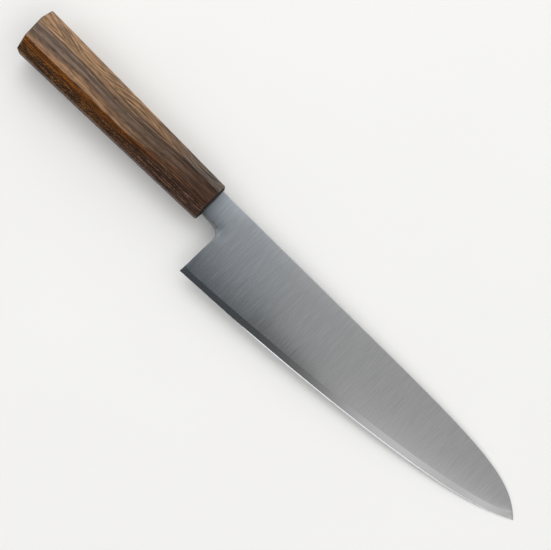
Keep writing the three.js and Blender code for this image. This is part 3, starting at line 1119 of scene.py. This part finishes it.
# %% Amber band, dark heart, the darker mouth and painted sheen
AMBER = (0.128, 0.040, 0.003, 1)
AMBER_RISE = (-58.0, -22.0)
HEART_RISE = (-66.0, -24.0)
MOUTH_SHEEN_GREY = (0.068, 0.054, 0.043, 1)
SHEEN_GREY_PLACE = (-48.0, -8.0)
CURL = 0.0045
HEARTS = [
    (-126.0, (0.066, 0.023, 0.002)),
    (-66.0, (0.054, 0.018, 0.002)),
    (-40.0, (0.046, 0.020, 0.008)),
    (0.0, (0.048, 0.022, 0.010)),
]
TONES_AND_SHEEN = [
    (-126.0, (0.86, 0.86, 0.86)),
    (-93.0, (0.80, 0.79, 0.78)),
    (-73.0, (0.68, 0.67, 0.66)),
    (-53.0, (0.62, 0.60, 0.57)),
    (-33.0, (0.47, 0.43, 0.41)),
    (-12.0, (0.26, 0.19, 0.15)),
    (0.0, (0.24, 0.17, 0.13)),
]

curl = low_edge * low_edge * CURL
ragged = grain(0.12, 0.6, 3.0, 0.6) - 0.5
risen = rise(flow, x, *AMBER_RISE)
amber_edge = across_top - (facet_edge + 4.0 * risen) + curl + ragged * (0.8 + 9.0 * risen)
amber = 1 - rise(flow, amber_edge / (1 + 4.0 * risen), -0.3, 0.3)
heart_top = -1.6 + 5.6 * rise(flow, x, *HEART_RISE)
heart = 1 - rise(flow, across_top - heart_top + curl + ragged * 3.0, -0.5, 0.5)
# Partly painted sheen: the tone ramp darkens the wood from the butt to the mouth, part real tone, part the
# butt half's gloss painted in.
tone_and_sheen = ramp(flow, x + (drift - 0.5) * 24.0, TONES_AND_SHEEN)
banded = mix(flow, amber * (1 - 0.5 * risen * (1 - low)), layer, AMBER)
toned_with_sheen = mix(flow, 1.0, banded, tone_and_sheen, "MULTIPLY")
hearted = mix(flow, heart, toned_with_sheen, ramp(flow, x, HEARTS))
# Painted sheen: the upper facet near the mouth is mixed towards grey.
sheen_greyed = mix(flow, top * rise(flow, x, *SHEEN_GREY_PLACE) * 0.85, hearted, MOUTH_SHEEN_GREY)
print("amber band and heart mixed")

# %% [markdown]
# The fine grain is noise drawn out along the handle. On the upper facet the lines swing to and fro with the
# layers, and thin pale wisps follow them. On the main facet thin dark veins and pale gleams run with the
# layers, and a pale line is painted along its lower long edge as a highlight.

# %% Fibres
FLAME_PEAK = -93.0
FLAME_LENGTH = 76.0
FIBRE_STEP = (0.38, 0.62)
FIBRE_DARK = (0.30, 0.29, 0.28, 1)
FIBRE_PALE = (1.70, 1.71, 1.72, 1)
DEEPER_TOP = (-100.0, -60.0)
DEEPER_MOUTH = (-50.0, -10.0)

flame = flow.maths("COSINE", (x - FLAME_PEAK) * (2 * math.pi / FLAME_LENGTH))
swung = side + flame * 6.0 + (drift - 0.5) * 6.0
top_lines = lines_in(x * 0.02, below * 0.2, swung * 0.78)
low_lines = lines_in(x * 0.06, across_top * 0.8, 5.0)
fine = main_lines + (top_lines - main_lines) * top + (low_lines - main_lines) * low
thread = grain(0.14, 1.2)
lines = rise(flow, fine, *FIBRE_STEP) * 0.62 + rise(flow, thread, *FIBRE_STEP) * 0.38
top_depth = 0.30 + 0.25 * rise(flow, x, *DEEPER_TOP)
depth = 0.64 + top_depth * top + 0.60 * low + 0.50 * rise(flow, x, *DEEPER_MOUTH)
fibres = mix(flow, 0.5 + (lines - 0.5) * depth, FIBRE_DARK, FIBRE_PALE)
grained = mix(flow, 1.0, sheen_greyed, fibres, "MULTIPLY")
print("fibres mixed")

# %% Veins, wisps and the painted edge highlight
VEIN = (0.030, 0.020, 0.014, 1)
WISP_GAIN = (1.9, 1.9, 1.9, 1)


def hairline(place, width):
    """Thin lines where soft noise crosses its middle."""
    gap = flow.maths("ABSOLUTE", noise(flow, place, 1.0, 0.0) - 0.5)
    return 1 - rise(flow, gap, 0.3 * width, width)


vein = hairline(vector(flow, x * 0.008 + 5.0, plane, side * 0.1), 0.06) * main
gleam = hairline(vector(flow, x * 0.010 + 9.0, plane * 0.85, side * 0.1), 0.06) * main
gather = 0.3 + 0.7 * rise(flow, noise(flow, vector(flow, x * 0.05, side * 0.12, 3.0)), 0.38, 0.58)
wisp = hairline(vector(flow, x * 0.02, below * 0.2 + 11.0, swung * 0.5), 0.07)
# Painted highlight: a pale line along the lower long edge of the main facet.
edge_highlight = 1 - rise(flow, flow.maths("ABSOLUTE", low_edge - 0.2), 0.1, 0.6)
paler = mix(flow, 1.0, grained, WISP_GAIN, "MULTIPLY")
light = flow.maths("MAXIMUM", flow.maths("MAXIMUM", wisp * gather * top, edge_highlight * 0.6), gleam * 0.5)
lit = mix(flow, light, grained, paler)
wisped = mix(flow, vein * 0.5, lit, VEIN)
print("veins and wisps mixed")

# %% [markdown]
# In the heart the lines break up into short, wavy black dashes with pale flecks between them, and open pores
# are scattered everywhere. Rows of a sine wave, bent by a second one and broken by patches of noise, make
# dashes of that kind.

# %% Dashes, flecks and pores
HEART_CALM = (-80.0, -30.0)
FLECK_GAIN = (1.9, 2.4, 5.0, 1)
PORE = (0.008, 0.004, 0.002, 1)

patchy = grain(0.45, 0.8) - 0.5
zigzag = flow.maths("SINE", x * 2.8 + drift * 14.0 + patchy * 4.0) * 0.3
rows = flow.maths("SINE", (across_top * 0.72 + zigzag + ragged * 1.6) * 4.4)
heart_grain = rows * 0.7 + patchy * 1.9
strong = 1 - 0.45 * rise(flow, x, *HEART_CALM)
dashes = rise(flow, heart_grain, -0.10, 0.15) * heart * strong
flecks = rise(flow, 0 - heart_grain, 0.40, 0.70) * heart * strong
streaks = rise(flow, heart_grain, 0.20, 0.55) * amber * low * 0.85
fleck = mix(flow, 1.0, wisped, FLECK_GAIN, "MULTIPLY")
flecked = mix(flow, flecks, wisped, fleck)
pore = lines_in(x * 0.25, y * 1.2, z * 1.2 + 4.0)
pores = rise(flow, pore, 0.60, 0.68) * 0.45
holes = flow.maths("MAXIMUM", flow.maths("MAXIMUM", pores, streaks), dashes)
pitted = mix(flow, holes, flecked, PORE)
print("dashes, flecks and pores mixed")

# %% [markdown]
# The two ends are painted near black: partly their darker end grain, partly painted shade. End grain soaks
# up oil and stays dull. The facets have a soft oil polish, a little rougher in the pores, and the pores and
# dashes are pressed in by a slight bump.

# %% End grain and wood surface
END_GRAIN_AND_SHADE = (0.016, 0.010, 0.007, 1)
MOUTH_END = (-0.15, -0.03)
BUTT_END = (0.0, 0.75)
WOOD_POLISH = 0.36
WOOD_SPECULAR = 0.18
WOOD_BUMP = 0.3
PORE_DEPTH = 0.00006

butt_depth = x + HANDLE_LENGTH + y * BUTT_LEAN + flow.maths("ABSOLUTE", y) * BUTT_FLARE
ends = flow.maths("MAXIMUM", rise(flow, x, *MOUTH_END), 1 - rise(flow, butt_depth, *BUTT_END))
# Partly painted shade: both ends are mixed towards near black.
colour = mix(flow, ends * 0.85, pitted, END_GRAIN_AND_SHADE)
polish = WOOD_POLISH + (fine - 0.5) * 0.10 + holes * 0.2
gloss = polish + (1 - polish) * ends
relief = fine * 0.25 + thread * 0.2 - holes
bump = flow.node("Bump", inputs={"Strength": WOOD_BUMP, "Distance": PORE_DEPTH, "Height": relief})
finish = {"Base Color": colour, "Roughness": gloss, "Specular IOR Level": WOOD_SPECULAR, "Normal": bump}
surface(flow, finish)
handle.data.materials.append(wood)
print("oiled_hardwood made")

# %% [markdown]
# Two pieces are kept from the frame as they are, because they are hidden but for a hairline: the resin bed
# around the tang and the seal at the mouth. They still get real finishes, cloudy amber resin and dark wax.

# %% Resin and wax
RESIN_COLOURS = ((0.42, 0.22, 0.06, 1), (0.68, 0.44, 0.16, 1))
RESIN_CLOUD = 0.25
WAX_COLOURS = ((0.016, 0.010, 0.006, 1), (0.036, 0.023, 0.014, 1))
WAX_SPECK = 2.0
WAX_DEPTH = 0.0001

resin, flow = new_finish("amber_resin")
place, _, _, _ = knife_place(flow)
cloud = noise(flow, place, RESIN_CLOUD, 3.0)
colour = mix(flow, cloud, *RESIN_COLOURS)
surface(flow, {"Base Color": colour, "Roughness": 0.3 + (cloud - 0.5) * 0.1})

wax, flow = new_finish("dark_wax")
place, _, _, _ = knife_place(flow)
speck = noise(flow, place, WAX_SPECK, 3.0)
colour = mix(flow, speck, *WAX_COLOURS)
bump = flow.node("Bump", inputs={"Strength": 0.3, "Distance": WAX_DEPTH, "Height": speck})
surface(flow, {"Base Color": colour, "Roughness": 0.6 + (speck - 0.5) * 0.2, "Normal": bump})

for name, material in (("tang_bedding", resin), ("mouth_seal", wax)):
    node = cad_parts[name]
    node.data.materials.clear()
    node.data.materials.append(material)
print("resin and wax made")

# %% [markdown]
# Last, each new piece is tied to the frame: it rides on the knife's one body and stands in for its CAD
# node, which is hidden.

# %% Tie the pieces to the frame
for piece, node, slot in ((blade, "blade", "blade_steel"), (handle, "handle", "handle_wood")):
    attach(piece, "root")
    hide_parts(node)
